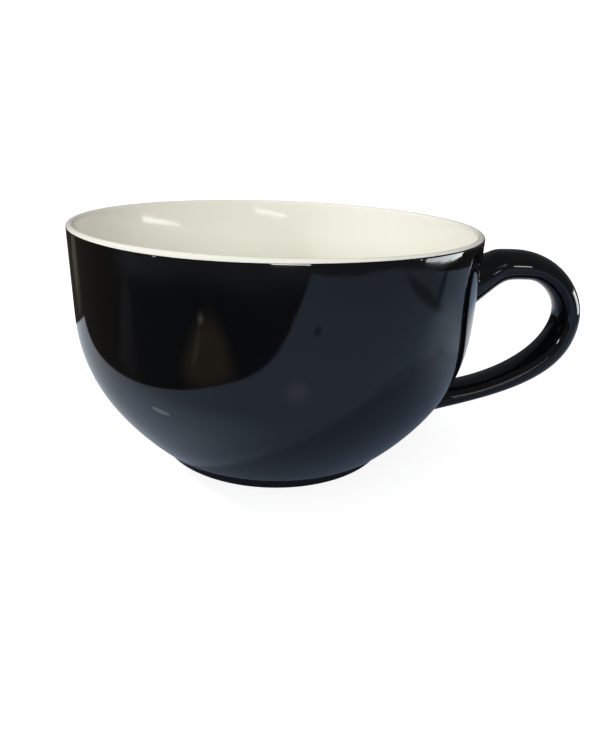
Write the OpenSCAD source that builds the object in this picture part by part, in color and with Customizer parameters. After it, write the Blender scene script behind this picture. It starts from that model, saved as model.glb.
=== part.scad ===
// Cappuccino cup: a wide glazed bowl on a low foot ring, with a loop handle stuck on with slip.
// The origin is on the table, on the axis of the bowl, and the handle points along +X.

/* [Bowl] */
// Outside diameter of the mouth, over the glaze
mouth_d = 110; // [96:1:124]
// Height from the table to the top of the lip
cup_h = 64.4; // [58:0.2:80]
// Thickness of the lip, over both glazes
lip_t = 2.1; // [1.7:0.1:2.8]
// Height where the upright wall starts to curve in
shoulder_h = 40.6; // [37:0.2:43]
// Radius of the upper curve of the outside
shoulder_r = 41.8; // [38:0.2:46]
// Turn of the upper curve, in degrees
shoulder_turn = 33; // [29:1:37]
// Radius of the lower curve of the outside
belly_r = 77.5; // [70:0.5:86]
// How far the inside leans out at the lip, in degrees
lip_lean = 9; // [7:0.5:10]
// Radius of the long curve down the inside of the wall
flare_r = 280; // [240:5:330]
// Radius of the curve round the bottom of the inside
cavity_r = 30; // [26:1:33]
// Thickness of the floor in the middle, over both glazes
floor_t = 4.2; // [3.4:0.1:5.6]

/* [Foot] */
// Height of the foot ring
foot_h = 4.2; // [3.6:0.1:5]
// How far the foot ring's wall is set in from the edge of the bowl
foot_set = 3.1; // [2.4:0.1:3.8]
// Radius of the hollow fillet between the foot ring and the bowl
foot_fillet_r = 1.5; // [1:0.1:1.9]
// Width of the foot ring, over both glazes
foot_w = 4.4; // [3.6:0.1:6]
// Radius of the two edges of the foot ring that stand on the table
foot_edge_r = 0.7; // [0.6:0.1:0.9]
// How far round the outer one of them the black glaze runs, in degrees
edge_wrap = 60; // [45:5:70]

/* [Handle] */
// How far the handle reaches out from the upright wall
handle_reach = 33.9; // [30:0.1:38]
// Width of the strap
handle_w = 12; // [10:0.5:15]
// Depth of the handle's crest below the rim
crest_drop = 5.8; // [4.6:0.1:8]
// Thickness of the strap at its crest
crest_t = 8.4; // [7.6:0.1:9.8]
// Height of the handle's outermost point
out_h = 38.6; // [35:0.1:42]
// Thickness of the strap at its outermost point
out_t = 6.9; // [6:0.1:8.6]
// Depth of the top of the upper root below the rim
root_drop = 8.5; // [7:0.1:10]
// Height of the upper root, along the wall
root_t = 15.5; // [13:0.5:18]
// Height of the underside of the lower root on the wall
tail_h = 6.6; // [6:0.1:8.5]
// Height of the lower root, from its underside to its upper side
tail_t = 10.4; // [8:0.2:12]
// Extra width of the strap where it meets the wall
root_flare = 2.5; // [1:0.1:4]
// Radius of the fillet where the handle meets the wall, over the glaze
root_fillet_r = 1.6; // [1:0.1:2.2]

/* [Joints and glaze] */
// Thickness of the pad of slip between the handle and the wall
slip_t = 1.2; // [0.8:0.1:1.8]
// Thickness of the coats of glaze
glaze_t = 0.35; // [0.25:0.05:0.5]
// Angle above the horizontal at which the cream and the black glaze meet on the lip
wrap_turn = 30; // [10:1:60]

/* [Hidden] */
$fn = 120;
clay_color = [0.87, 0.84, 0.77];
slip_color = [0.78, 0.74, 0.66];
cream_color = [0.92, 0.91, 0.84];
black_color = [0.09, 0.10, 0.12];

// Steps along each curve
arc_steps = 10;
lip_steps = 12;
flare_steps = 6;
fillet_steps = 6;
edge_steps = 4;
ring_sides = 20;
rise_steps = 15;
bend_steps = 12;
tail_steps = 28;
// The rings of the strap crowd towards the wall by these powers
rise_power = 1.5;
tail_power = 1.7;

// The bowl's outside, seen as a section with the radius first and the height second
mouth_r = mouth_d / 2;
lip_r = lip_t / 2;
lip_c = [mouth_r - lip_r, cup_h - lip_r];
shoulder_c = [mouth_r - shoulder_r, shoulder_h];
belly_c = shoulder_c + (shoulder_r - belly_r) * [cos(shoulder_turn), -sin(shoulder_turn)];
// The inside: a long curve from the lip, tangent to the curve round the bottom
floor_z = foot_h + floor_t;
cavity_z = floor_z + cavity_r;
flare_c = lip_c + (flare_r - lip_r) * [cos(lip_lean), -sin(lip_lean)];
low_lean = asin((cavity_z - flare_c.y) / (flare_r + cavity_r));
cavity_c = [flare_c.x - (flare_r + cavity_r) * cos(low_lean), cavity_z];
// The foot
seat_z = foot_h + glaze_t;
base_r = wall_x(foot_h);
foot_r = base_r - foot_set;
well_r = foot_r - foot_w;
edge_c = [foot_r - foot_edge_r, foot_edge_r];
well_stop = (foot_edge_r + foot_h) / 2;
// The solid that trims the handle reaches past the rim by this much
trim_over = 2;

// The handle's two outlines, with the places and the pulls of their curves as shares
hole_reach = handle_reach - out_t;
outer_crest_share = 0.36;
inner_crest_share = 0.62;
root_depth = 0.55;
outer_lift = 14;
inner_lift = 42;
outer_tail_lift = 15;
inner_tail_lift = 4.6;
inner_out_rise = 1.5;
outer_pull_shares = [0.72, 0.66, 0.61, 0.46, 0.58, 0.54];
inner_pull_shares = [0.75, 0.47, 0.47, 0.46, 0.43, 0.49];
// The strap widens over these shares of its first and last curve
rise_flare_share = 0.6;
tail_flare_share = 0.18;
// How far both ends run on inside the wall before they are trimmed
run_in = 4;

// An arc round c from angle a to angle b
function arc(c, r, a, b, n) =
    [for (i = [0:n]) let (t = a + (b - a) * i / n) c + r * [cos(t), sin(t)]];

function reversed(points) = [for (i = [len(points) - 1:-1:0]) points[i]];

// Radius of the bowl's outside at height z
function wall_x(z) =
    z >= shoulder_h ? mouth_r
    : z >= shoulder_h - shoulder_r * sin(shoulder_turn)
        ? shoulder_c.x + sqrt(pow(shoulder_r, 2) - pow(shoulder_c.y - z, 2))
        : belly_c.x + sqrt(pow(belly_r, 2) - pow(belly_c.y - z, 2));

// The outside of the wall from height z up to the lip, set in by d
function wall_points(d, z) = concat(
    arc(belly_c, belly_r - d, -asin((belly_c.y - z) / (belly_r - d)), -shoulder_turn, arc_steps),
    arc(shoulder_c, shoulder_r - d, -shoulder_turn, 0, arc_steps));

// The lip from angle a to angle b, set in by d
function lip_points(d, a, b) = arc(lip_c, lip_r - d, a, b, lip_steps);

// The cavity from the lip down to the middle of the floor, set back into the clay by d
function cavity_points(d) = concat(
    arc(flare_c, flare_r - d, 180 - lip_lean, 180 - low_lean, flare_steps),
    arc(cavity_c, cavity_r + d, -low_lean, -90, arc_steps * 2),
    [[0, floor_z - d]]);

// The foot ring's outside from the bowl down round its edge to where the glaze stops, set in by d
function foot_points(d) = concat(
    arc([foot_r + foot_fillet_r, foot_h - foot_fillet_r], foot_fillet_r + d, 90, 180, fillet_steps),
    arc(edge_c, foot_edge_r - d, 0, -edge_wrap, edge_steps));

// Distance from the wall, set in by d, and the wall's normal, at a point of the section
function wall_frame(p, d) =
    let (u = p - shoulder_c, turn = atan2(-u.y, u.x), v = p - belly_c)
    turn <= 0 ? [p.x - mouth_r + d, [1, 0]]
    : turn <= shoulder_turn ? [norm(u) - shoulder_r + d, u / norm(u)]
    : [norm(v) - belly_r + d, v / norm(v)];

// How far a fillet of radius r stands off the strap at distance s from the wall, where c is the
// cosine of the angle between the two surfaces' normals
function fillet_push(s, c, r) =
    let (q = (r * (1 - c) - max(s, 0)) / sqrt(max(1 - c * c, pow(r / belly_r, 2))))
    q <= 0 ? 0 : q >= r ? r : r - sqrt(r * r - q * q);

// A cubic curve through the first and last of four points
function cubic(p, t) =
    pow(1 - t, 3) * p[0] + 3 * pow(1 - t, 2) * t * p[1] + 3 * (1 - t) * t * t * p[2] + pow(t, 3) * p[3];

// One outline of the handle: root to crest, crest to outermost point, outermost point to tail
function outline(root, lift, crest, out, tail, tail_lift, pull_shares) = [
    [root,
        root + pull_shares[0] * norm(crest - root) * [cos(lift), sin(lift)],
        crest - [pull_shares[1] * (crest.x - root.x), 0],
        crest],
    [crest,
        crest + [pull_shares[2] * (out.x - crest.x), 0],
        out + [0, pull_shares[3] * (crest.y - out.y)],
        out],
    [out,
        out - [0, pull_shares[4] * (out.y - tail.y)],
        tail + pull_shares[5] * norm(out - tail) * [cos(tail_lift), sin(tail_lift)],
        tail]];

outer_outline = outline(
    [mouth_r - root_depth, cup_h - root_drop], outer_lift,
    [mouth_r + outer_crest_share * handle_reach, cup_h - crest_drop],
    [mouth_r + handle_reach, out_h],
    [wall_x(tail_h), tail_h], outer_tail_lift, outer_pull_shares);
inner_outline = outline(
    [mouth_r - root_depth, cup_h - root_drop - root_t], inner_lift,
    [mouth_r + inner_crest_share * hole_reach, cup_h - crest_drop - crest_t],
    [mouth_r + hole_reach, out_h + inner_out_rise],
    [wall_x(tail_h + tail_t), tail_h + tail_t], inner_tail_lift, inner_pull_shares);

// Each station of the strap: the number of its curve, its place on it, and how far it is flared
rise_stations = [for (i = [0:rise_steps]) let (t = pow(i / rise_steps, rise_power))
    [0, t, pow(max(0, 1 - t / rise_flare_share), 2)]];
bend_stations = [for (i = [1:bend_steps]) [1, i / bend_steps, 0]];
tail_stations = [for (i = [1:tail_steps]) let (t = 1 - pow(1 - i / tail_steps, tail_power))
    [2, t, pow(max(0, 1 - (1 - t) / tail_flare_share), 2)]];

// The strap's section at a station, moved by the vectors a and b at its outer and inner edge
function strap_ring(station, a, b, d) =
    let (outer = cubic(outer_outline[station[0]], station[1]) + a,
        inner = cubic(inner_outline[station[0]], station[1]) + b,
        mid = (outer + inner) / 2,
        half_t = norm(outer - inner) / 2 - d,
        half_w = (handle_w + root_flare * station[2]) / 2 - d,
        up = (outer - inner) / norm(outer - inner))
    [for (i = [0:ring_sides - 1])
        let (t = 360 * i / ring_sides,
            flat = mid + half_t * cos(t) * up,
            side = half_w * sin(t),
            n = [half_w * cos(t), half_t * sin(t)] / norm([half_w * cos(t), half_t * sin(t)]),
            frame = wall_frame([norm([flat.x, side]), flat.y], d),
            wall_n = [frame[1].x * flat.x, frame[1].x * side] / norm([flat.x, side]),
            c = n[0] * (up.x * wall_n[0] + up.y * frame[1].y) + n[1] * wall_n[1],
            push = fillet_push(frame[0], c, root_fillet_r + d))
        [flat.x + push * n[0] * up.x, side + push * n[1], flat.y + push * n[0] * up.y]];

function away(lift, run) = -run * [cos(lift), sin(lift)];

function rise_rings(d) = concat(
    [strap_ring(rise_stations[0], away(outer_lift, run_in + d), away(inner_lift, run_in + d), d)],
    [for (s = rise_stations) strap_ring(s, [0, 0], [0, 0], d)]);
function bend_rings(d) = [for (s = bend_stations) strap_ring(s, [0, 0], [0, 0], d)];
function tail_rings(d) = concat(
    [for (s = tail_stations) strap_ring(s, [0, 0], [0, 0], d)],
    [strap_ring(tail_stations[tail_steps - 1],
        away(outer_tail_lift, run_in + d), away(inner_tail_lift, run_in + d), d)]);

// A closed skin over a row of rings
module skin(rings) {
    n = ring_sides;
    last = len(rings) - 1;
    points = [for (ring = rings) each ring];
    sides = [for (i = [0:last - 1], j = [0:n - 1])
        let (k = (j + 1) % n)
        each [[i * n + j, i * n + k, (i + 1) * n + k], [i * n + j, (i + 1) * n + k, (i + 1) * n + j]]];
    caps = [[for (j = [n - 1:-1:0]) j], [for (j = [0:n - 1]) last * n + j]];
    polyhedron(points, concat(sides, caps));
}

// The bowl's outside as one solid, set in by d, to trim what is stuck on it
module wall_solid(d) {
    rotate_extrude()
        polygon(concat(
            [[0, foot_h]],
            wall_points(d, foot_h),
            [[mouth_r - d, cup_h + trim_over], [0, cup_h + trim_over]]));
}

module bowl() {
    color(clay_color)
        rotate_extrude()
            polygon(concat(
                [[0, seat_z]],
                wall_points(glaze_t, seat_z),
                lip_points(glaze_t, 0, 180 - lip_lean),
                cavity_points(glaze_t)));
}

module foot_ring() {
    color(clay_color)
        rotate_extrude()
            polygon(concat(
                foot_points(glaze_t),
                arc(edge_c, foot_edge_r, -edge_wrap, -90, edge_steps),
                arc([well_r + glaze_t + foot_edge_r, foot_edge_r], foot_edge_r, -90, -180, fillet_steps),
                [[well_r + glaze_t, seat_z]]));
}

module handle() {
    color(clay_color)
        difference() {
            skin(concat(rise_rings(glaze_t), bend_rings(glaze_t), tail_rings(glaze_t)));
            wall_solid(glaze_t - slip_t);
        }
}

// A pad of slip, cut from one end of the strap
module slip_pad(rings) {
    color(slip_color)
        difference() {
            intersection() {
                skin(rings);
                wall_solid(glaze_t - slip_t);
            }
            wall_solid(glaze_t);
        }
}

module upper_handle_joint() {
    slip_pad(rise_rings(glaze_t));
}

module lower_handle_joint() {
    slip_pad(tail_rings(glaze_t));
}

module inner_glaze() {
    color(cream_color)
        rotate_extrude()
            polygon(concat(
                lip_points(glaze_t, wrap_turn, 180 - lip_lean),
                cavity_points(glaze_t),
                reversed(cavity_points(0)),
                lip_points(0, 180 - lip_lean, wrap_turn)));
}

module outer_glaze() {
    color(black_color)
        difference() {
            rotate_extrude()
                polygon(concat(
                    wall_points(glaze_t, seat_z),
                    lip_points(glaze_t, 0, wrap_turn),
                    lip_points(0, wrap_turn, 0),
                    reversed(wall_points(0, foot_h)),
                    foot_points(0),
                    reversed(foot_points(glaze_t))));
            skin(rise_rings(glaze_t));
            skin(tail_rings(glaze_t));
        }
}

module handle_glaze() {
    color(black_color)
        difference() {
            skin(concat(rise_rings(0), bend_rings(0), tail_rings(0)));
            skin(concat(rise_rings(glaze_t), bend_rings(glaze_t), tail_rings(glaze_t)));
            wall_solid(0);
        }
}

module base_glaze() {
    color(black_color)
        rotate_extrude()
            polygon([
                [0, foot_h],
                [well_r, foot_h],
                [well_r, well_stop],
                [well_r + glaze_t, well_stop],
                [well_r + glaze_t, seat_z],
                [0, seat_z]]);
}

bowl();
foot_ring();
handle();
upper_handle_joint();
lower_handle_joint();
inner_glaze();
outer_glaze();
handle_glaze();
base_glaze();
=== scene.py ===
"""A cappuccino cup: cream glaze inside and over the lip, black glaze outside, on a pale table.

Lengths below are in millimetres, and to_m() turns them into the metres of the frame. Angles are in
degrees where they are written down. In the names of sizes _R is a radius, _C a centre as (radius,
height), _T a thickness, _W a width, _H or _Z a height, _AT a place, and _STEPS or _SIDES counts the
pieces that a line or a ring is cut into.
"""
import math

import bpy
import numpy as np
from mathutils import Matrix, Vector


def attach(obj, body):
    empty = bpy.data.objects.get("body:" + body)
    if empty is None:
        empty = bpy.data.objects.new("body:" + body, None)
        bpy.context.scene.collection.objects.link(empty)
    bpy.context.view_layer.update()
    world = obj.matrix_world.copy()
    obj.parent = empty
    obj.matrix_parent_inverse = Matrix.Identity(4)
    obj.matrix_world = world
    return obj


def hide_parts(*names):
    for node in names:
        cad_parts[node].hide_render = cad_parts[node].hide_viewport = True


MM = 0.001

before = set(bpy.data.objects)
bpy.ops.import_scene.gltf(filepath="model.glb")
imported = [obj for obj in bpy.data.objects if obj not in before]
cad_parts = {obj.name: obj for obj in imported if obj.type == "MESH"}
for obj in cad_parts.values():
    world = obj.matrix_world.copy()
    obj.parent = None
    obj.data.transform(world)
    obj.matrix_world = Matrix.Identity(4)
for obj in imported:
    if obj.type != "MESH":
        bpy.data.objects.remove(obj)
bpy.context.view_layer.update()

# ---------------------------------------------------------------- camera
# The photo is 600 by 750 pixels, and its focal length was solved in pixels.
PHOTO_H = 750
FOCAL_PX = 594.5
SENSOR = 36.0
CLIP_M = (0.005, 20.0)
CAM_AT = (0.0, -167.66, 86.14)
CAM_PITCH, CAM_YAW, CAM_ROLL = (math.radians(a) for a in (21.872, 2.575, 2.244))


def make_camera():
    fwd = Vector((math.sin(CAM_YAW) * math.cos(CAM_PITCH),
                  math.cos(CAM_YAW) * math.cos(CAM_PITCH),
                  -math.sin(CAM_PITCH)))
    level = fwd.cross(Vector((0, 0, 1))).normalized()
    upright = level.cross(fwd)
    right = math.cos(CAM_ROLL) * level + math.sin(CAM_ROLL) * upright
    up = -math.sin(CAM_ROLL) * level + math.cos(CAM_ROLL) * upright
    data = bpy.data.cameras.new("camera")
    data.sensor_width = SENSOR
    data.lens = SENSOR * FOCAL_PX / PHOTO_H
    data.clip_start, data.clip_end = CLIP_M
    cam = bpy.data.objects.new("camera", data)
    bpy.context.scene.collection.objects.link(cam)
    turn = Matrix((right, up, -fwd)).transposed().to_4x4()
    cam.matrix_world = Matrix.Translation(Vector(CAM_AT) * MM) @ turn
    bpy.context.scene.camera = cam


make_camera()

# ---------------------------------------------------------------- sizes of the cup, as in the frame
MOUTH_R, CUP_H, LIP_T = 55.0, 64.4, 2.1
LIP_R = LIP_T / 2
LIP_C = (MOUTH_R - LIP_R, CUP_H - LIP_R)
SHOULDER_C, SHOULDER_R, SHOULDER_TURN = (13.2, 40.6), 41.8, 33.0
BELLY_R = 77.5
BELLY_C = (SHOULDER_C[0] + (SHOULDER_R - BELLY_R) * math.cos(math.radians(SHOULDER_TURN)),
           SHOULDER_C[1] - (SHOULDER_R - BELLY_R) * math.sin(math.radians(SHOULDER_TURN)))
LIP_LEAN, FLARE_R, CAVITY_R, FLOOR_T = 9.0, 280.0, 30.0, 4.2
FOOT_H, FOOT_SET, FOOT_FILLET_R, FOOT_W, FOOT_EDGE_R = 4.2, 3.1, 1.5, 4.4, 0.7
EDGE_WRAP = 60.0
FLOOR_Z = FOOT_H + FLOOR_T
FLARE_C = (LIP_C[0] + (FLARE_R - LIP_R) * math.cos(math.radians(LIP_LEAN)),
           LIP_C[1] - (FLARE_R - LIP_R) * math.sin(math.radians(LIP_LEAN)))
CAVITY_Z = FLOOR_Z + CAVITY_R
FLARE_LEAN = math.degrees(math.asin((CAVITY_Z - FLARE_C[1]) / (FLARE_R + CAVITY_R)))
CAVITY_C = (FLARE_C[0] - (FLARE_R + CAVITY_R) * math.cos(math.radians(FLARE_LEAN)), CAVITY_Z)
GLAZE_T = 0.35
SEAT_Z = FOOT_H + GLAZE_T


def wall_x(z):
    """Radius of the bowl's outside at height z."""
    if z >= SHOULDER_C[1]:
        return MOUTH_R
    if z >= SHOULDER_C[1] - SHOULDER_R * math.sin(math.radians(SHOULDER_TURN)):
        return SHOULDER_C[0] + math.sqrt(SHOULDER_R ** 2 - (SHOULDER_C[1] - z) ** 2)
    return BELLY_C[0] + math.sqrt(BELLY_R ** 2 - (BELLY_C[1] - z) ** 2)


BASE_R = wall_x(FOOT_H)
FOOT_R = BASE_R - FOOT_SET
WELL_R = FOOT_R - FOOT_W
GLAZE_STOP = (FOOT_EDGE_R + FOOT_H) / 2
EDGE_C = (FOOT_R - FOOT_EDGE_R, FOOT_EDGE_R)

# ---------------------------------------------------------------- lines and meshes
TINY = 1e-6


def arc(c, r, a, b, n):
    """Points on an arc round c from angle a to angle b, in degrees."""
    t = np.radians(np.linspace(a, b, n + 1))
    return [(c[0] + r * math.cos(x), c[1] + r * math.sin(x)) for x in t]


def straight(a, b, n):
    """n points from a towards b, without b itself."""
    return [(a[0] + (b[0] - a[0]) * i / n, a[1] + (b[1] - a[1]) * i / n) for i in range(n)]


def cubic(p, t):
    """The point at t on the cubic curve with the four control points p."""
    return ((1 - t) ** 3 * p[0] + 3 * (1 - t) ** 2 * t * p[1] + 3 * (1 - t) * t * t * p[2]
            + t ** 3 * p[3])


def round_angles(n):
    """n angles spread evenly over a full turn, in radians."""
    return np.linspace(0, 2 * math.pi, n, endpoint=False)


def ring_faces(rings, sides):
    """The four-sided faces between closed rings of vertices that follow each other in the list."""
    return [(i * sides + j, i * sides + (j + 1) % sides,
             (i + 1) * sides + (j + 1) % sides, (i + 1) * sides + j)
            for i in range(rings - 1) for j in range(sides)]


def to_m(points):
    return [tuple(MM * v for v in p) for p in points]


def add_mesh(name, verts, faces, sharp=()):
    """A smooth shaded object in the frame. sharp holds pairs of vertices whose edge is a crease."""
    mesh = bpy.data.meshes.new(name)
    mesh.from_pydata(to_m(verts), [], faces)
    mesh.validate()
    mesh.polygons.foreach_set("use_smooth", [True] * len(mesh.polygons))
    if sharp:
        wanted = {tuple(sorted(e)) for e in sharp}
        flags = [tuple(sorted(e.vertices)) in wanted for e in mesh.edges]
        mark = mesh.attributes.new("sharp_edge", "BOOLEAN", "EDGE")
        mark.data.foreach_set("value", flags)
    mesh.update()
    obj = bpy.data.objects.new(name, mesh)
    bpy.context.scene.collection.objects.link(obj)
    return obj


def lathe(name, profile, steps, creases=()):
    """Turns a closed loop of (radius, height) round the axis. profile(angle) gives the loop there.
    A point at radius 0 becomes one vertex. creases lists the loop's points that stay sharp."""
    n = len(profile(0.0))
    verts, index = [], []
    for k in range(steps):
        turn = 2 * math.pi * k / steps
        row = []
        for i, (r, z) in enumerate(profile(turn)):
            if r < TINY and k:
                row.append(index[0][i])
                continue
            row.append(len(verts))
            verts.append((r * math.cos(turn), r * math.sin(turn), z))
        index.append(row)
    faces, sharp = [], []
    for k in range(steps):
        a, b = index[k], index[(k + 1) % steps]
        for i in range(n):
            j = (i + 1) % n
            face = [a[i], b[i], b[j], a[j]]
            face = [v for m, v in enumerate(face) if v not in face[:m]]
            if len(face) > 2:
                faces.append(face)
        for i in creases:
            if a[i] != b[i]:
                sharp.append((a[i], b[i]))
    return add_mesh(name, verts, faces, sharp)


# ---------------------------------------------------------------- bowl and foot
LATHE_STEPS = 288
# The two glazes meet on the lip's outer roll, at an angle that is 0 at the wall and 90 on top. The
# black one runs a little higher on the handle's side, and lower in a dip at the front left.
WRAP_TURN, WRAP_SIDE_LIFT = 30.0, 8.0
WRAP_DIP, WRAP_DIP_AT, WRAP_DIP_SPREAD = 26.0, -112.0, 34.0
# Seed and size of the waves of that line and of the glaze's edge in the well
WRAP_WAVE, WELL_WAVE = (1.3, 3.0), (2.2, 0.15)
LIP_STEPS, LIP_BACK_STEPS, WRAP_STEPS = 36, 12, 14
FLARE_STEPS, CAVITY_STEPS, FLOOR_STEPS = 24, 72, 10
# The wall is drawn as fine arcs, its bends are spread over EASE_REACH, and WALL_POINTS are kept.
WALL_STEPS, WALL_POINTS = 200, 101
EASE_REACH, EASE_STEPS = 7.0, 400
FOOT_FILLET_STEPS, FOOT_EDGE_STEPS = 12, 8
BARE_STEPS, BARE_INNER_STEPS, BARE_OUTER_STEPS = 2, 8, 4
# The well's floor starts at WELL_INNER_R after the middle point, and ends in a soft corner.
WELL_INNER_R, WELL_CORNER_R, WELL_FLOOR_STEPS, WELL_CORNER_STEPS = 6.0, 0.8, 8, 8


def wave(turn, seed, size):
    """A slow uneven wave round the cup, as a hand that dips glaze leaves."""
    return size * (0.5 * math.sin(2 * turn + seed) + 0.3 * math.sin(5 * turn + 2.1 * seed)
                   + 0.2 * math.sin(9 * turn + 3.7 * seed))


def wrap_turn(turn):
    """Where the two glazes meet on the lip, at that angle round the cup."""
    off = math.remainder(turn - math.radians(WRAP_DIP_AT), 2 * math.pi) / math.radians(WRAP_DIP_SPREAD)
    return (WRAP_TURN + WRAP_SIDE_LIFT * math.cos(turn) + wave(turn, *WRAP_WAVE)
            - WRAP_DIP * math.exp(-off ** 2))


def eased(points, reach, count):
    """The line with its bends spread over that reach, so that reflections show no kinks. It is drawn
    again from its last point, and what it misses its first point by is shared out along it."""
    p = np.array(points)[::-1]
    along = np.concatenate(([0], np.cumsum(np.linalg.norm(np.diff(p, axis=0), axis=1))))
    step = along[-1] / EASE_STEPS
    places = np.linspace(0, along[-1], EASE_STEPS + 1)
    even = np.stack([np.interp(places, along, p[:, i]) for i in (0, 1)], 1)
    turn = np.unwrap(np.arctan2(np.diff(even[:, 1]), np.diff(even[:, 0])))
    half = int(reach / step)
    kernel = np.hanning(2 * half + 3)[1:-1]
    before, after = 2 * turn[0] - turn[half:0:-1], 2 * turn[-1] - turn[-2:-half - 2:-1]
    turn = np.convolve(np.concatenate((before, turn, after)), kernel / kernel.sum(), "valid")
    moves = step * np.stack([np.cos(turn), np.sin(turn)], 1)
    line = p[0] + np.concatenate(([[0, 0]], np.cumsum(moves, 0)))
    line += (even[-1] - line[-1]) * np.linspace(0, 1, EASE_STEPS + 1)[:, None] ** 2
    keep = np.round(np.linspace(0, EASE_STEPS, count)).astype(int)
    return [tuple(q) for q in line[keep][::-1]]


def wall_profile(d):
    """The outside of the wall from the foot ring up to the lip, set in by d."""
    low = -math.degrees(math.asin((BELLY_C[1] - FOOT_H) / (BELLY_R - d)))
    line = (arc(BELLY_C, BELLY_R - d, low, -SHOULDER_TURN, WALL_STEPS)[:-1]
            + arc(SHOULDER_C, SHOULDER_R - d, -SHOULDER_TURN, 0, WALL_STEPS)
            + [(MOUTH_R - d, LIP_C[1])])
    return eased(line, EASE_REACH, WALL_POINTS)[:-1]


def cavity_profile(d):
    """The inside from the lip down to the middle of the floor, set back into the clay by d."""
    return (arc(FLARE_C, FLARE_R - d, 180 - LIP_LEAN, 180 - FLARE_LEAN, FLARE_STEPS)[1:-1]
            + arc(CAVITY_C, CAVITY_R + d, -FLARE_LEAN, -90, CAVITY_STEPS)[:-1]
            + straight((CAVITY_C[0], FLOOR_Z - d), (0.0, FLOOR_Z - d), FLOOR_STEPS)
            + [(0.0, FLOOR_Z - d)])


def foot_profile(d):
    """The foot ring's outside from the bowl down round its edge to where the glaze stops, set in
    by d."""
    fillet_c = (FOOT_R + FOOT_FILLET_R, FOOT_H - FOOT_FILLET_R)
    return (arc(fillet_c, FOOT_FILLET_R + d, 90, 180, FOOT_FILLET_STEPS)
            + arc(EDGE_C, FOOT_EDGE_R - d, 0, -EDGE_WRAP, FOOT_EDGE_STEPS))


WALL_SKIN, WALL_BACK = wall_profile(0.0), wall_profile(GLAZE_T)


def inner_loop(turn):
    """The cream coat's section: its skin from the meeting line inwards, and back under it."""
    w = wrap_turn(turn)
    skin = arc(LIP_C, LIP_R, w, 180 - LIP_LEAN, LIP_STEPS) + cavity_profile(0.0)
    back = (arc(LIP_C, LIP_R - GLAZE_T, w, 180 - LIP_LEAN, LIP_BACK_STEPS)
            + cavity_profile(GLAZE_T))
    return skin + back[::-1]


def outer_loop(turn):
    """The black coat's section: its skin from the foot up to the meeting line, and back under it."""
    w = wrap_turn(turn)
    skin = foot_profile(0.0)[::-1] + WALL_SKIN + arc(LIP_C, LIP_R, 0, w, WRAP_STEPS)
    back = (foot_profile(GLAZE_T)[::-1] + WALL_BACK
            + arc(LIP_C, LIP_R - GLAZE_T, 0, w, WRAP_STEPS))
    return skin + back[::-1]


def bare_loop(turn):
    """The bare clay of the foot ring, from the well round the standing face to the outer coat."""
    well = WELL_R + GLAZE_T
    return ([(well, SEAT_Z)] + straight((well, GLAZE_STOP), (well, FOOT_EDGE_R), BARE_STEPS)
            + arc((well + FOOT_EDGE_R, FOOT_EDGE_R), FOOT_EDGE_R, 180, 270, BARE_INNER_STEPS)
            + arc(EDGE_C, FOOT_EDGE_R, -90, -EDGE_WRAP, BARE_OUTER_STEPS)
            + foot_profile(GLAZE_T)[::-1])


def well_loop(turn):
    """The black coat of the well, from its middle out and down the foot ring's inside, and back."""
    stop = GLAZE_STOP + wave(turn, *WELL_WAVE)
    corner = (WELL_R - WELL_CORNER_R, FOOT_H - WELL_CORNER_R)
    return ([(0.0, FOOT_H)] + straight((WELL_INNER_R, FOOT_H), (corner[0], FOOT_H), WELL_FLOOR_STEPS)
            + arc(corner, WELL_CORNER_R, 90, 0, WELL_CORNER_STEPS)
            + [(WELL_R, stop), (WELL_R + GLAZE_T, stop), (WELL_R + GLAZE_T, SEAT_Z), (0.0, SEAT_Z)])


inner_n = len(inner_loop(0.0))
outer_n = len(outer_loop(0.0))
well_edge = 1 + WELL_FLOOR_STEPS + WELL_CORNER_STEPS + 1
inner_coat = lathe("inner_coat", inner_loop, LATHE_STEPS, (0, inner_n - 1))
outer_coat = lathe("outer_coat", outer_loop, LATHE_STEPS,
                   (0, outer_n // 2 - 1, outer_n // 2, outer_n - 1))
bare_foot = lathe("bare_foot", bare_loop, LATHE_STEPS, (0,))
well_coat = lathe("well_coat", well_loop, LATHE_STEPS, (well_edge, well_edge + 1, well_edge + 2))

# ---------------------------------------------------------------- handle
HANDLE_REACH, HANDLE_W = 33.9, 12.0
CREST_DROP, CREST_T, OUT_H, OUT_T = 5.8, 8.4, 38.6, 6.9
ROOT_DROP, ROOT_T, TAIL_H, TAIL_T = 8.5, 15.5, 6.6, 10.4
ROOT_FLARE, ROOT_FILLET_R = 2.5, 1.9
ROOT_DEPTH = 0.55
# Where the crests of the outer and the inner outline lie, as shares of their reach, and how much
# higher the inner one reaches furthest out
OUTER_CREST, INNER_CREST, INNER_OUT_LIFT = 0.36, 0.62, 1.5
OUTER_LIFT, INNER_LIFT, OUTER_TAIL_LIFT, INNER_TAIL_LIFT = 14.0, 42.0, 15.0, 4.6
OUTER_PULLS = (0.72, 0.66, 0.61, 0.46, 0.58, 0.54)
INNER_PULLS = (0.75, 0.47, 0.47, 0.46, 0.43, 0.49)
RISE_FLARE, TAIL_FLARE = 0.6, 0.18
# Past its ends the strap runs on straight into the wall, this far for each 1 in u.
END_RUN = 20.0
# Places along the strap inside and outside the wall, between which each root is looked for
UPPER_SEARCH, LOWER_SEARCH = (-0.2, 0.5), (3.2, 2.6)
SEARCH_HALVINGS, MARCH_STEP = 50, 0.002
# The cosine of the angle between strap and wall that a fillet takes at the least and at the most
FILLET_COS = (-0.75, 0.95)
FILLET_STEPS, STRAP_SIDES = 14, 72
RISE_STEPS, BEND_STEPS, TAIL_STEPS = 44, 40, 60
# Above 1, the rings crowd towards the roots.
CROWDING = 1.4


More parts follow.
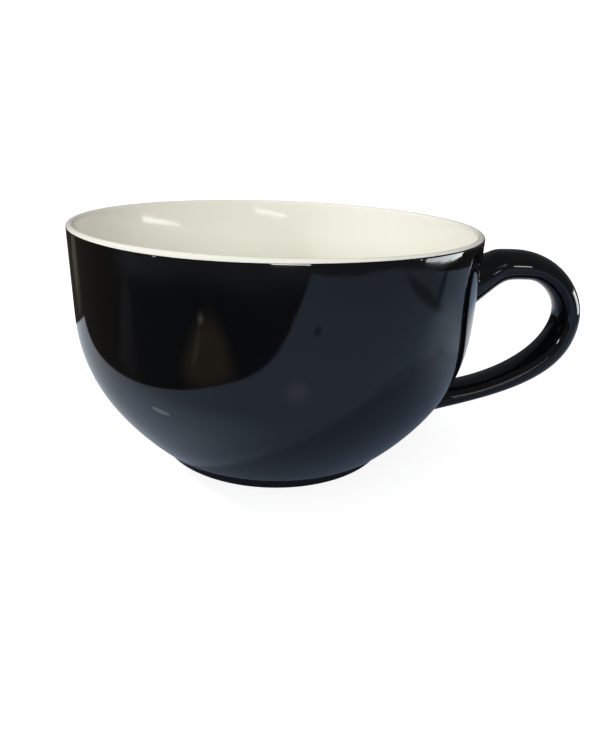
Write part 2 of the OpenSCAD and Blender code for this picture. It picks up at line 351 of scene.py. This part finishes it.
def outline(root, lift, crest, out, tail, tail_lift, k):
    """Three cubics from the upper root over the crest and the furthest point to the tail, and the
    directions at both ends. k holds the pulls of the control points."""
    root, crest, out, tail = (np.array(p, float) for p in (root, crest, out, tail))
    start = np.array([math.cos(math.radians(lift)), math.sin(math.radians(lift))])
    end = np.array([math.cos(math.radians(tail_lift)), math.sin(math.radians(tail_lift))])
    return [
        (root, root + k[0] * np.linalg.norm(crest - root) * start,
         crest - np.array([k[1] * (crest[0] - root[0]), 0]), crest),
        (crest, crest + np.array([k[2] * (out[0] - crest[0]), 0]),
         out + np.array([0, k[3] * (crest[1] - out[1])]), out),
        (out, out - np.array([0, k[4] * (out[1] - tail[1])]),
         tail + k[5] * np.linalg.norm(out - tail) * end, tail)], start, end


hole_reach = HANDLE_REACH - OUT_T
OUTER = outline((MOUTH_R - ROOT_DEPTH, CUP_H - ROOT_DROP), OUTER_LIFT,
                (MOUTH_R + OUTER_CREST * HANDLE_REACH, CUP_H - CREST_DROP),
                (MOUTH_R + HANDLE_REACH, OUT_H),
                (wall_x(TAIL_H), TAIL_H), OUTER_TAIL_LIFT, OUTER_PULLS)
INNER = outline((MOUTH_R - ROOT_DEPTH, CUP_H - ROOT_DROP - ROOT_T), INNER_LIFT,
                (MOUTH_R + INNER_CREST * hole_reach, CUP_H - CREST_DROP - CREST_T),
                (MOUTH_R + hole_reach, OUT_H + INNER_OUT_LIFT),
                (wall_x(TAIL_H + TAIL_T), TAIL_H + TAIL_T), INNER_TAIL_LIFT, INNER_PULLS)


def strap_point(u, angle):
    """Point and section normal of the strap. u runs from 0 at the upper root to 3 at the lower one,
    and past both ends into the wall."""
    part = min(2, max(0, int(math.floor(u))))
    t = min(1.0, max(0.0, u - part))
    outer, inner = cubic(OUTER[0][part], t), cubic(INNER[0][part], t)
    if u < 0:
        outer, inner = outer + END_RUN * u * OUTER[1], inner + END_RUN * u * INNER[1]
    if u > 3:
        outer, inner = outer - END_RUN * (u - 3) * OUTER[2], inner - END_RUN * (u - 3) * INNER[2]
    flare = 0.0
    if part == 0:
        flare = max(0.0, 1 - t / RISE_FLARE) ** 2
    if part == 2:
        flare = max(0.0, 1 - (1 - t) / TAIL_FLARE) ** 2
    span = np.linalg.norm(outer - inner)
    half_t, half_w = span / 2, (HANDLE_W + ROOT_FLARE * flare) / 2
    up = (outer - inner) / span
    flat = (outer + inner) / 2 + half_t * math.cos(angle) * up
    n = np.array([half_w * math.cos(angle), half_t * math.sin(angle)])
    n /= np.linalg.norm(n)
    return (np.array([flat[0], half_w * math.sin(angle), flat[1]]),
            np.array([n[0] * up[0], n[1], n[0] * up[1]]))


def wall_frame(p):
    """Distance of a point from the bowl's outside, and the wall's normal there."""
    rho = math.hypot(p[0], p[1])
    turn = math.atan2(SHOULDER_C[1] - p[2], rho - SHOULDER_C[0])
    if turn <= 0:
        s, n = rho - MOUTH_R, (1.0, 0.0)
    else:
        on_shoulder = turn <= math.radians(SHOULDER_TURN)
        c, r = (SHOULDER_C, SHOULDER_R) if on_shoulder else (BELLY_C, BELLY_R)
        v = (rho - c[0], p[2] - c[1])
        length = math.hypot(*v)
        s, n = length - r, (v[0] / length, v[1] / length)
    return s, np.array([n[0] * p[0] / rho, n[0] * p[1] / rho, n[1]])


def on_wall(p, d=0.0):
    """The point moved along the wall's normal until it is d off the bowl's outside."""
    s, n = wall_frame(p)
    return p - (s - d) * n


def corner_of(angle, inside, outside):
    """Place along the strap where its line at that angle comes out of the wall."""
    for _ in range(SEARCH_HALVINGS):
        mid = (inside + outside) / 2
        if wall_frame(strap_point(mid, angle)[0])[0] > 0:
            outside = mid
        else:
            inside = mid
    return outside


def march(angle, u, way, length):
    """Place that lies a given length along the strap from u. way is 1 for a rising u, else -1."""
    p, done = strap_point(u, angle)[0], 0.0
    while done < length:
        u += MARCH_STEP * way
        q = strap_point(u, angle)[0]
        done += np.linalg.norm(q - p)
        p = q
    return u


def fillet(angle, inside, outside, way):
    """The points of one root at that angle, from inside the wall out to the strap, and the place
    along the strap where they end."""
    u = corner_of(angle, inside, outside)
    corner, n = strap_point(u, angle)
    wall_n = wall_frame(corner)[1]
    turn = math.acos(max(FILLET_COS[0], min(FILLET_COS[1], float(n @ wall_n))))
    length = ROOT_FILLET_R * math.tan(turn / 2)
    u_end = march(angle, u, way, length)
    a = strap_point(u_end, angle)[0]
    out = n - (n @ wall_n) * wall_n
    b = on_wall(corner + length * out / np.linalg.norm(out))
    k = 4 / 3 * math.tan(turn / 4) / math.tan(turn / 2)
    controls = [b, b + k * (corner - b), a + k * (corner - a), a]
    line = [on_wall(b, -GLAZE_T)]
    line += [cubic(controls, i / FILLET_STEPS) for i in range(FILLET_STEPS)]
    return line, u_end


def make_strap():
    lines = []
    for j in range(STRAP_SIDES):
        angle = 2 * math.pi * j / STRAP_SIDES
        top, u0 = fillet(angle, *UPPER_SEARCH, 1)
        low, u1 = fillet(angle, *LOWER_SEARCH, -1)
        places = [u0 + (1 - u0) * (i / RISE_STEPS) ** CROWDING for i in range(RISE_STEPS)]
        places += [1 + i / BEND_STEPS for i in range(BEND_STEPS)]
        places += [2 + (u1 - 2) * (1 - (1 - i / TAIL_STEPS) ** CROWDING) for i in range(TAIL_STEPS)]
        lines.append(top + [strap_point(u, angle)[0] for u in places]
                     + [strap_point(u1, angle)[0]] + low[::-1])
    n, count = STRAP_SIDES, len(lines[0])
    verts = [tuple(line[i]) for i in range(count) for line in lines]
    faces = ring_faces(count, n)
    faces.append(tuple(range(n))[::-1])
    faces.append(tuple((count - 1) * n + j for j in range(n)))
    # The two rings at each end lie in the wall and on it, and stay sharp.
    sharp = [(i * n + j, i * n + (j + 1) % n)
             for i in (0, 1, count - 2, count - 1) for j in range(n)]
    return add_mesh("handle_coat", verts, faces, sharp)


handle_coat = make_strap()

for piece, node, slot in ((inner_coat, "inner_glaze", "cream_glaze"),
                          (outer_coat, "outer_glaze", "black_glaze"),
                          (handle_coat, "handle_glaze", "black_glaze"),
                          (well_coat, "base_glaze", "black_glaze"),
                          (bare_foot, "foot_ring", "bare_clay")):
    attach(piece, "root")
    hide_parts(node)

# ---------------------------------------------------------------- materials
GLAZE_IOR = 1.5


class Nodes:
    """A short way to write a node tree."""

    def __init__(self, tree):
        self.tree = tree
        tree.nodes.clear()

    def add(self, kind, inputs=None, **settings):
        node = self.tree.nodes.new(kind)
        for key, value in settings.items():
            setattr(node, key, value)
        for key, value in (inputs or {}).items():
            self.set(node, key, value)
        return node

    def set(self, node, key, value):
        if isinstance(value, bpy.types.NodeSocket):
            self.tree.links.new(value, node.inputs[key])
        elif isinstance(value, bpy.types.Node):
            self.tree.links.new(value.outputs[0], node.inputs[key])
        else:
            node.inputs[key].default_value = value

    def math(self, operation, a, b=0.0, c=0.0):
        return self.add("ShaderNodeMath", {0: a, 1: b, 2: c}, operation=operation).outputs[0]

    def mix(self, factor, a, b):
        """Colour a where the factor is 0 and b where it is 1. For colours the Mix node takes its
        inputs 6 and 7 and gives its output 2."""
        node = self.add("ShaderNodeMix", {0: factor, 6: a, 7: b}, data_type="RGBA")
        return node.outputs[2]


def new_material(name):
    material = bpy.data.materials.new(name)
    material.use_nodes = True
    return material, Nodes(material.node_tree)


def place(nodes):
    """The point in the object's own frame, in metres."""
    return nodes.add("ShaderNodeTexCoord").outputs["Object"]


def noise(nodes, where, scale, detail=2.0, roughness=0.5):
    node = nodes.add("ShaderNodeTexNoise", {"Vector": where, "Scale": scale, "Detail": detail,
                                            "Roughness": roughness})
    return node.outputs["Fac"]


def ramp(nodes, value, low, high, to_low=0.0, to_high=1.0):
    """A smooth step from to_low to to_high while the value goes from low to high."""
    node = nodes.add("ShaderNodeMapRange", {0: value, 1: low, 2: high, 3: to_low, 4: to_high},
                     interpolation_type="SMOOTHSTEP")
    return node.outputs[0]


def bumped(nodes, height, strength, distance, normal=None):
    """A bumped normal, on top of another one if that is given. distance is in metres."""
    inputs = {"Height": height, "Strength": strength, "Distance": distance}
    if normal is not None:
        inputs["Normal"] = normal
    return nodes.add("ShaderNodeBump", inputs).outputs[0]


def finish_surface(nodes, shader):
    nodes.add("ShaderNodeOutputMaterial", {"Surface": shader})


def glazed(nodes, colour, rough, normal):
    finish_surface(nodes, nodes.add("ShaderNodeBsdfPrincipled", {
        "Base Color": colour, "Roughness": rough, "IOR": GLAZE_IOR, "Normal": normal}))


def black_glaze():
    material, nodes = new_material("black_glaze")
    where = place(nodes)
    blotch = noise(nodes, where, scale=45.0, detail=3.0)
    colour = nodes.mix(blotch, (0.0014, 0.0016, 0.0021, 1), (0.0026, 0.0028, 0.0035, 1))
    swell = noise(nodes, where, scale=38.0, detail=1.0)
    peel = noise(nodes, where, scale=420.0, detail=2.0)
    normal = bumped(nodes, swell, strength=0.35, distance=0.0006)
    normal = bumped(nodes, peel, strength=0.05, distance=0.0001, normal=normal)
    uneven = noise(nodes, where, scale=120.0, detail=4.0)
    rough = ramp(nodes, uneven, low=0.35, high=0.7, to_low=0.035, to_high=0.06)
    glazed(nodes, colour, rough, normal)
    return material


def cream_glaze():
    material, nodes = new_material("cream_glaze")
    where = place(nodes)
    cloud = noise(nodes, where, scale=26.0, detail=3.0)
    colour = nodes.mix(cloud, (0.83, 0.81, 0.715, 1), (0.865, 0.85, 0.76, 1))
    fine = noise(nodes, where, scale=900.0, detail=1.0)
    speck = ramp(nodes, fine, low=0.76, high=0.82, to_low=0.0, to_high=0.5)
    colour = nodes.mix(speck, colour, (0.62, 0.57, 0.47, 1))
    swell = noise(nodes, where, scale=30.0, detail=1.0)
    normal = bumped(nodes, swell, strength=0.3, distance=0.0006)
    uneven = noise(nodes, where, scale=90.0, detail=4.0)
    rough = ramp(nodes, uneven, low=0.35, high=0.7, to_low=0.05, to_high=0.09)
    glazed(nodes, colour, rough, normal)
    return material


def clay(name, dark, light):
    """Matt fired clay, cloudy between two colours and with a darker grain."""
    material, nodes = new_material(name)
    where = place(nodes)
    grain = noise(nodes, where, scale=1400.0, detail=5.0, roughness=0.7)
    cloud = noise(nodes, where, scale=60.0, detail=3.0)
    colour = nodes.mix(cloud, dark, light)
    dots = ramp(nodes, grain, low=0.62, high=0.75, to_low=0.0, to_high=0.6)
    colour = nodes.mix(dots, colour, (0.42, 0.34, 0.25, 1))
    normal = bumped(nodes, grain, strength=0.4, distance=0.0002)
    rough = ramp(nodes, grain, low=0.3, high=0.7, to_low=0.75, to_high=0.92)
    finish_surface(nodes, nodes.add("ShaderNodeBsdfPrincipled", {
        "Base Color": colour, "Roughness": rough, "Normal": normal}))
    return material


def dress(obj, material):
    obj.data.materials.clear()
    obj.data.materials.append(material)


black = black_glaze()
cream = cream_glaze()
bare_clay = clay("bare_clay", dark=(0.60, 0.54, 0.44, 1), light=(0.70, 0.65, 0.55, 1))
slip = clay("slip", dark=(0.50, 0.44, 0.34, 1), light=(0.60, 0.54, 0.44, 1))
dress(inner_coat, cream)
for piece in (outer_coat, handle_coat, well_coat):
    dress(piece, black)
for name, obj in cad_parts.items():
    dress(obj, slip if "joint" in name else bare_clay)
dress(bare_foot, bare_clay)

# ---------------------------------------------------------------- floor and world
FLOOR_REACH = 4000.0
FLOOR_GREYS = ((0.49, 0.49, 0.49, 1), (0.51, 0.51, 0.51, 1))
# What the floor shines by where it is seen, so that with its own light it comes out white
FLOOR_GLOW = 0.78
ROOM_COLOUR, ROOM_STRENGTH = (0.97, 0.985, 1.0, 1), 0.5
WHITE = (1, 1, 1, 1)
RIM_Z = 60.0


def seen_or_reflected(nodes):
    """1 for rays from the camera, from reflections and through glass, 0 for light on the object."""
    path = nodes.add("ShaderNodeLightPath")
    reflected = nodes.math("MAXIMUM", path.outputs["Is Glossy Ray"],
                           path.outputs["Is Transmission Ray"])
    return nodes.math("MAXIMUM", path.outputs["Is Camera Ray"], reflected)


def make_floor():
    """The plain pale floor. It is white where it is seen, and it keeps the cup's shadow."""
    r = FLOOR_REACH
    floor = add_mesh("floor", [(-r, -r, 0), (r, -r, 0), (r, r, 0), (-r, r, 0)], [(0, 1, 2, 3)])
    material, nodes = new_material("pale_floor")
    grain = noise(nodes, place(nodes), scale=14.0, detail=3.0)
    matt = nodes.add("ShaderNodeBsdfDiffuse", {"Color": nodes.mix(grain, *FLOOR_GREYS)})
    glow = nodes.add("ShaderNodeEmission", {
        "Color": WHITE, "Strength": nodes.math("MULTIPLY", seen_or_reflected(nodes), FLOOR_GLOW)})
    finish_surface(nodes, nodes.add("ShaderNodeAddShader", {0: matt, 1: glow}))
    dress(floor, material)


def make_world():
    """White where it is seen, and an even soft light on the object."""
    world = bpy.data.worlds.new("studio")
    world.use_nodes = True
    bpy.context.scene.world = world
    nodes = Nodes(world.node_tree)
    room = nodes.add("ShaderNodeBackground", {"Color": ROOM_COLOUR, "Strength": ROOM_STRENGTH})
    seen = nodes.add("ShaderNodeBackground", {"Color": WHITE, "Strength": 1.0})
    mixed = nodes.add("ShaderNodeMixShader", {0: seen_or_reflected(nodes), 1: room, 2: seen})
    nodes.add("ShaderNodeOutputWorld", {"Surface": mixed})


# ---------------------------------------------------------------- what the black glaze mirrors
# The photo's cup stands on a pale board in a dim room with a few windows. Cards stand for them, and
# only reflections see them. A wide flat card just over the floor carries the board and the dark table
# round it: the board ends at a front edge with a bend, at a back edge that meets it at the left, and
# at a far round edge.
BOARD_CORNER = (-168.0, 68.0)
BOARD_BEND = (-58.0, -80.0)
BOARD_FRONT_END = (70.0, -300.0)
BOARD_BACK_END = (-112.0, 96.0)
BOARD_REACH, BOARD_FAR_SOFT, EDGE_SOFT = 338.0, 10.0, 2.0
TABLE_REACH, TABLE_Z, TABLE_SIDES = 2600.0, 0.02, 64
TENT_R, TENT_ROWS, TENT_SIDES = 2500.0, 16, 48

BOARD_TONES = ((0.37, 0.475, 0.64, 1), (0.40, 0.505, 0.675, 1))
# Towards its far edge the board darkens to a second colour: painted shade, as less light reaches it
# there.
BOARD_FAR_SHADE, BOARD_SHADE_FADE = (0.325, 0.415, 0.54, 1), (120, 330)
# The table behind the cup and in front of it, and in front further off. A line divides each pair.
TABLE_BACK, TABLE_FRONT = (0.046, 0.040, 0.031, 1), (0.034, 0.038, 0.046, 1)
TABLE_FAR_FRONT, TABLE_FADE = (0.14, 0.147, 0.155, 1), (260, 350)
TABLE_LINE, TABLE_FAR_LINE, TABLE_SOFT = ((0, -60), (-400, -90)), ((0, -60), (-400, -60)), 60.0

# Soft ellipses: centre, half-axes, turn, softness and colour
# On the board: the cup's painted shadow, painted pools of light, and a few dark marks.
BOARD_LIGHT_SHADE_AND_MARKS = (
    # Painted shadow of the cup
    ((50, 0), (92, 69), 0, 0.06, (0.33, 0.42, 0.58)),
    # Painted pools of light: brighter at the left, at the right and back right, in front and at the
    # front left
    ((-118, 55), (95, 120), 0, 0.7, (0.70, 0.76, 0.84)),
    ((165, 0), (72, 44), 10, 0.6, (0.60, 0.71, 0.86)),
    ((105, 105), (55, 50), 45, 0.6, (1.0, 1.0, 1.0)),
    ((17, -107), (8, 17), 10, 0.8, (0.62, 0.70, 0.86)),
    ((-46, -47), (34, 14), -28, 0.6, (0.62, 0.79, 1.0)),
    # Dark marks: a dot in front, and a darker patch and two dark streaks at the right
    ((68, -204), (6, 6), 0, 0.4, (0.13, 0.17, 0.21)),
    ((290, -50), (60, 40), -20, 0.4, (0.24, 0.31, 0.39)),
    ((264, -78), (68, 15), -65, 0.5, (0.12, 0.155, 0.19)),
    ((300, -6), (66, 11), 18, 0.5, (0.11, 0.15, 0.18)),
)
OFF_BOARD = (
    ((-84, -148), (64, 28), 54, 0.4, (0.25, 0.19, 0.115)),
    ((-104, -150), (34, 3), 56, 0.5, (0.40, 0.33, 0.22)),
    ((-128, -190), (6.5, 4.5), 54, 0.6, (0.95, 0.88, 0.66)),
    ((-200, -58), (95, 14), 8, 0.6, (0.095, 0.096, 0.10)),
    ((-300, 228), (180, 24), 135, 0.4, (0.165, 0.155, 0.13)),
)


def beyond(nodes, xyz, a, b, soft=EDGE_SOFT):
    """1 to the left of the line from a to b on the floor, 0 to its right, with a soft edge."""
    dx, dy = b[0] - a[0], b[1] - a[1]
    length = math.hypot(dx, dy)
    n = (-dy / length, dx / length)
    offset = n[0] * a[0] + n[1] * a[1]
    across = nodes.math("MULTIPLY_ADD", xyz.outputs[0], n[0] / MM,
                        nodes.math("MULTIPLY", xyz.outputs[1], n[1] / MM))
    return ramp(nodes, across, offset - soft, offset + soft)


def spot(nodes, where, at, size, turn, soft):
    """1 inside an ellipse on the floor and 0 outside it, with a soft edge."""
    moved = nodes.add("ShaderNodeMapping", {
        "Vector": where, "Location": [MM * v for v in (*at, 0)],
        "Rotation": (0, 0, math.radians(turn)), "Scale": (MM * size[0], MM * size[1], 1)},
        vector_type="TEXTURE")
    far = nodes.add("ShaderNodeVectorMath", {0: moved}, operation="LENGTH").outputs["Value"]
    return ramp(nodes, far, 1 - soft, 1 + soft, to_low=1.0, to_high=0.0)


def with_spots(nodes, where, base, spots):
    for at, size, turn, soft, colour in spots:
        base = nodes.mix(spot(nodes, where, at, size, turn, soft), base, (*colour, 1))
    return base


def glossy_only(obj):
    """A card that only reflections see, as a photographer's card out of the picture."""
    obj.visible_camera = False
    obj.visible_diffuse = False
    obj.visible_shadow = False
    obj.visible_transmission = False
    obj.visible_volume_scatter = False


def stage_card(obj, material):
    dress(obj, material)
    glossy_only(obj)


def make_table_card():
    disc = [(TABLE_REACH * math.cos(t), TABLE_REACH * math.sin(t), TABLE_Z)
            for t in round_angles(TABLE_SIDES)]
    obj = add_mesh("table_card", disc, [tuple(range(len(disc)))])
    material, nodes = new_material("board_and_table")
    where = place(nodes)
    xyz = nodes.add("ShaderNodeSeparateXYZ", {0: where})
    radius = nodes.add("ShaderNodeVectorMath", {0: where}, operation="LENGTH").outputs["Value"]
    grain = noise(nodes, where, scale=14.0, detail=3.0)
    board = nodes.mix(grain, *BOARD_TONES)
    # Painted shade: the board darkens away from the cup.
    far_shade = ramp(nodes, radius, *(MM * r for r in BOARD_SHADE_FADE))
    board = nodes.mix(far_shade, board, BOARD_FAR_SHADE)
    # The board takes its painted shadow of the cup and its painted pools of light.
    board = with_spots(nodes, where, board, BOARD_LIGHT_SHADE_AND_MARKS)
    table = nodes.mix(beyond(nodes, xyz, *TABLE_LINE, TABLE_SOFT), TABLE_BACK, TABLE_FRONT)
    far_front = nodes.math("MULTIPLY", ramp(nodes, radius, *(MM * r for r in TABLE_FADE)),
                           beyond(nodes, xyz, *TABLE_FAR_LINE, TABLE_SOFT))
    table = nodes.mix(far_front, table, TABLE_FAR_FRONT)
    table = with_spots(nodes, where, table, OFF_BOARD)
    off = nodes.math("MINIMUM",
                     beyond(nodes, xyz, BOARD_FRONT_END, BOARD_BEND),
                     beyond(nodes, xyz, BOARD_BEND, BOARD_CORNER))
    off = nodes.math("MAXIMUM", off, beyond(nodes, xyz, BOARD_CORNER, BOARD_BACK_END))
    off = nodes.math("MAXIMUM", off, ramp(nodes, radius, MM * BOARD_REACH,
                                          MM * (BOARD_REACH + BOARD_FAR_SOFT)))
    finish_surface(nodes, nodes.add("ShaderNodeBsdfDiffuse", {
        "Color": nodes.mix(off, board, table)}))
    stage_card(obj, material)


def make_tent():
    """The dim room above the table, as a half ball that only reflections see. It shines with a dim
    glow that stands in for the room's light: painted light, uneven in soft patches.
    """
    verts = [(TENT_R * math.cos(e) * math.cos(a), TENT_R * math.cos(e) * math.sin(a),
              TENT_R * math.sin(e))
             for e in np.linspace(0, math.pi / 2, TENT_ROWS, endpoint=False)
             for a in round_angles(TENT_SIDES)]
    faces = ring_faces(TENT_ROWS, TENT_SIDES)
    faces.append(tuple((TENT_ROWS - 1) * TENT_SIDES + j for j in range(TENT_SIDES)))
    obj = add_mesh("tent", verts, faces)
    material, nodes = new_material("dim_room_glow")
    # Painted light: the glow is uneven in soft patches.
    glow_patches = noise(nodes, place(nodes), scale=1.2, detail=3.0)
    dim = ramp(nodes, glow_patches, low=0.3, high=0.7, to_low=0.11, to_high=0.16)
    finish_surface(nodes, nodes.add("ShaderNodeEmission", {
        "Color": (0.87, 0.93, 1.0, 1), "Strength": dim}))
    stage_card(obj, material)


def card(name, corners, colour, strength):
    """A flat card that shines with one colour, softened by a slow unevenness."""
    obj = add_mesh(name, corners, [tuple(range(len(corners)))])
    material, nodes = new_material(name)
    cloud = noise(nodes, place(nodes), scale=6.0)
    uneven = ramp(nodes, cloud, low=0.3, high=0.7, to_low=0.85 * strength, to_high=1.1 * strength)
    finish_surface(nodes, nodes.add("ShaderNodeEmission", {
        "Color": (*colour, 1), "Strength": uneven}))
    stage_card(obj, material)


def toward(azimuth, elevation, distance):
    """The point at that distance from the middle of the rim, in that direction."""
    a, e = math.radians(azimuth), math.radians(elevation)
    return (distance * math.cos(a) * math.cos(e), distance * math.sin(a) * math.cos(e),
            RIM_Z + distance * math.sin(e))


def window_card(name, azimuths, elevations, distance, colour, strength):
    """A card between two directions, bent round the cup. Each azimuth has a pair of elevations."""
    low = [toward(a, e[0], distance) for a, e in zip(azimuths, elevations)]
    high = [toward(a, e[1], distance) for a, e in zip(azimuths, elevations)]
    card(name, low + high[::-1], colour, strength)


def strip_card(name, x, y, z, colour, strength):
    """An upright card that faces the front. x and z hold the ends of its width and its height."""
    corners = [(x[0], y, z[0]), (x[1], y, z[0]), (x[1], y, z[1]), (x[0], y, z[1])]
    card(name, corners, colour, strength)


def glint_card(name, at, size, turn, z, sides, colour, strength):
    """A small ellipse that lies flat at height z. size holds its half-axes."""
    c, s = math.cos(math.radians(turn)), math.sin(math.radians(turn))
    corners = [(at[0] + size[0] * math.cos(t) * c - size[1] * math.sin(t) * s,
                at[1] + size[0] * math.cos(t) * s + size[1] * math.sin(t) * c, z)
               for t in round_angles(sides)]
    card(name, corners, colour, strength)


def area_lamp(name, at, size, radiance):
    """A rectangular lamp that faces the cup. Its power gives it that radiance. Reflections don't see
    it, since the cards stand for the photo's lamps there."""
    data = bpy.data.lights.new(name, "AREA")
    data.shape = "RECTANGLE"
    data.size, data.size_y = size[0] * MM, size[1] * MM
    data.energy = radiance * math.pi * data.size * data.size_y
    lamp = bpy.data.objects.new(name, data)
    bpy.context.scene.collection.objects.link(lamp)
    at, look_at = Vector(at) * MM, Vector((0, 0, RIM_Z)) * MM
    lamp.location = at
    lamp.rotation_mode = "QUATERNION"
    lamp.rotation_quaternion = (look_at - at).to_track_quat("-Z", "Y")
    lamp.visible_glossy = False


make_world()
make_floor()
make_table_card()
make_tent()
area_lamp("key_lamp", toward(azimuth=170, elevation=36, distance=900), size=(80, 80),
          radiance=188.0)
area_lamp("fill_lamp", toward(azimuth=-95, elevation=18, distance=1200), size=(500, 500),
          radiance=9.0)
# A paler stretch of wall in front, and a thin window in it that shows high inside the cup
window_card("front_glow", azimuths=(-94, -84, -73), elevations=((14, 32), (14, 32), (14, 32)),
            distance=900, colour=(1.0, 1.0, 0.97), strength=1.5)
window_card("front_window", azimuths=(-95, -73), elevations=((9.4, 10.1), (10.9, 11.7)),
            distance=900, colour=(1.0, 1.0, 0.97), strength=9.0)
# Small near strips that show on the handle's crest and on the front of the lip
strip_card("crest_strip", x=(86, 95.5), y=-60, z=(60.5, 69), colour=(1.0, 1.0, 0.98),
           strength=10.0)
strip_card("front_strip", x=(-2.7, 13.5), y=-80, z=(58.5, 63.5), colour=(1.0, 1.0, 0.98),
           strength=26.0)
glint_card("board_glint", at=(-50.0, -46.5), size=(6.0, 1.7), turn=-30, z=0.5, sides=24,
           colour=(0.82, 0.97, 1.0), strength=1.45)
# A window at the right, with a lower edge that rises towards the back
card("side_window", [(363, -97, 1.5), (351, 94, 7.5), (351, 94, 97), (363, -97, 97)],
     colour=(0.93, 1.0, 1.0), strength=7.5)

bpy.context.scene.view_settings.view_transform = "Standard"
